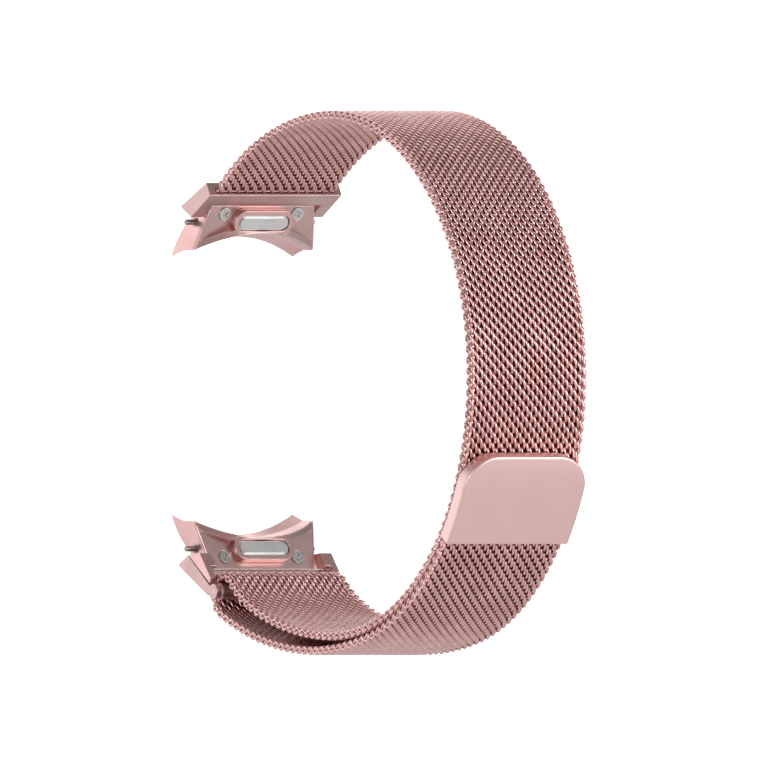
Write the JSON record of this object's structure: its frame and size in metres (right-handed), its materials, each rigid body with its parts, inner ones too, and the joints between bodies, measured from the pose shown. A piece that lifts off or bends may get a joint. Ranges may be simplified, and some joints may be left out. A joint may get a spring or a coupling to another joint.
{
  "type": "smartwatch strap",
  "caption": "Woven-mesh magnetic loop strap for a round smartwatch: quick-release end links with push buttons, lug pins, folded-back tail and magnetic clasp.",
  "frame": {"origin": "centre of the round watch case that the strap holds, midway between the two rows of lug pins", "axes": "+X from the watch to the back of the wrist, +Y across the strap, +Z towards the link without the adjusting turn"},
  "size_m": [0.0806, 0.022, 0.0774],
  "materials": {
    "rose_steel": "satin rose-gold coating on stainless steel",
    "clasp_rose": "fine blasted rose-gold coating",
    "mesh": "rose-gold coated woven wire",
    "button_steel": "plain satin steel",
    "screw_steel": "plain bright steel",
    "pin_steel": "plain turned steel",
    "magnet": "nickel-plated magnets, hidden in the clasp"
  },
  "bodies": {
    "upper_link": {"upper_end_link": "rose_steel", "upper_cover": "rose_steel", "upper_bezel": "rose_steel", "upper_pin_spring": "pin_steel", "upper_screws": "screw_steel", "upper_frame": "rose_steel", "upper_mesh_rod": "pin_steel", "strap_upper": "mesh"},
    "upper_button": {"upper_button": "button_steel"},
    "upper_pin_near": {"upper_pin_near": "pin_steel"},
    "upper_pin_far": {"upper_pin_far": "pin_steel"},
    "strap_back": {"strap_back": "mesh"},
    "strap_under": {"strap_under": "mesh", "strap_turn": "mesh"},
    "lower_link": {"lower_end_link": "rose_steel", "lower_cover": "rose_steel", "lower_bezel": "rose_steel", "lower_pin_spring": "pin_steel", "lower_screws": "screw_steel", "lower_frame": "rose_steel", "lower_cheeks": "rose_steel", "lower_roller_pin": "pin_steel"},
    "lower_button": {"lower_button": "button_steel"},
    "lower_pin_near": {"lower_pin_near": "pin_steel"},
    "lower_pin_far": {"lower_pin_far": "pin_steel"},
    "roller": {"lower_roller": "rose_steel"},
    "tail": {"strap_tail": "mesh"},
    "clasp": {"strap_tail_end": "mesh", "clasp_shell": "clasp_rose", "clasp_back_plate": "clasp_rose", "clasp_magnets": "magnet", "clasp_crimp": "clasp_rose"}
  },
  "joints": [
    {"name": "upper_button_press", "type": "slide", "parent": "upper_link", "child": "upper_button", "axis": [-0.9348, 0, 0.3551], "range_m": [0, 0.0008], "stiffness_N_per_m": 500, "springref_m": -0.0008},
    {"name": "upper_pin_near_slide", "type": "slide", "parent": "upper_link", "child": "upper_pin_near", "axis": [0, 1, 0], "range_m": [0, 0.0008]},
    {"name": "upper_pin_far_slide", "type": "slide", "parent": "upper_link", "child": "upper_pin_far", "axis": [0, -1, 0], "range_m": [0, 0.0008]},
    {"name": "lower_button_press", "type": "slide", "parent": "lower_link", "child": "lower_button", "axis": [-0.9348, 0, -0.3551], "range_m": [0, 0.0008], "stiffness_N_per_m": 500, "springref_m": -0.0008},
    {"name": "lower_pin_near_slide", "type": "slide", "parent": "lower_link", "child": "lower_pin_near", "axis": [0, 1, 0], "range_m": [0, 0.0008]},
    {"name": "lower_pin_far_slide", "type": "slide", "parent": "lower_link", "child": "lower_pin_far", "axis": [0, -1, 0], "range_m": [0, 0.0008]},
    {"name": "strap_flex_top", "type": "hinge", "parent": "upper_link", "child": "strap_back", "pos_m": [0.04147, 0, 0.0382], "axis": [0, 1, 0], "range_deg": [-20, 12]},
    {"name": "strap_flex_back", "type": "hinge", "parent": "strap_back", "child": "strap_under", "pos_m": [0.0735, 0, 0.01035], "axis": [0, 1, 0], "range_deg": [-20, 12]},
    {"name": "lower_link_swivel", "type": "hinge", "parent": "strap_under", "child": "lower_link", "pos_m": [0.00781, 0, -0.02928], "axis": [0, 1, 0], "range_deg": [-8, 8]},
    {"name": "roller_spin", "type": "hinge", "parent": "lower_link", "child": "roller", "pos_m": [0.00781, 0, -0.02928], "axis": [0, 1, 0], "continuous": true},
    {"name": "tail_swing", "type": "hinge", "parent": "strap_under", "child": "tail", "pos_m": [0.00822, 0, -0.02946], "axis": [0, 1, 0], "range_deg": [0, 45]},
    {"name": "clasp_peel", "type": "hinge", "parent": "tail", "child": "clasp", "pos_m": [0.06382, 0, -0.02672], "axis": [0, 1, 0], "range_deg": [0, 40]}
  ],
  "couplings": [
    {"joint": "upper_pin_near_slide", "follows": "upper_button_press", "ratio": 1},
    {"joint": "upper_pin_far_slide", "follows": "upper_button_press", "ratio": 1},
    {"joint": "lower_pin_near_slide", "follows": "lower_button_press", "ratio": 1},
    {"joint": "lower_pin_far_slide", "follows": "lower_button_press", "ratio": 1}
  ]
}
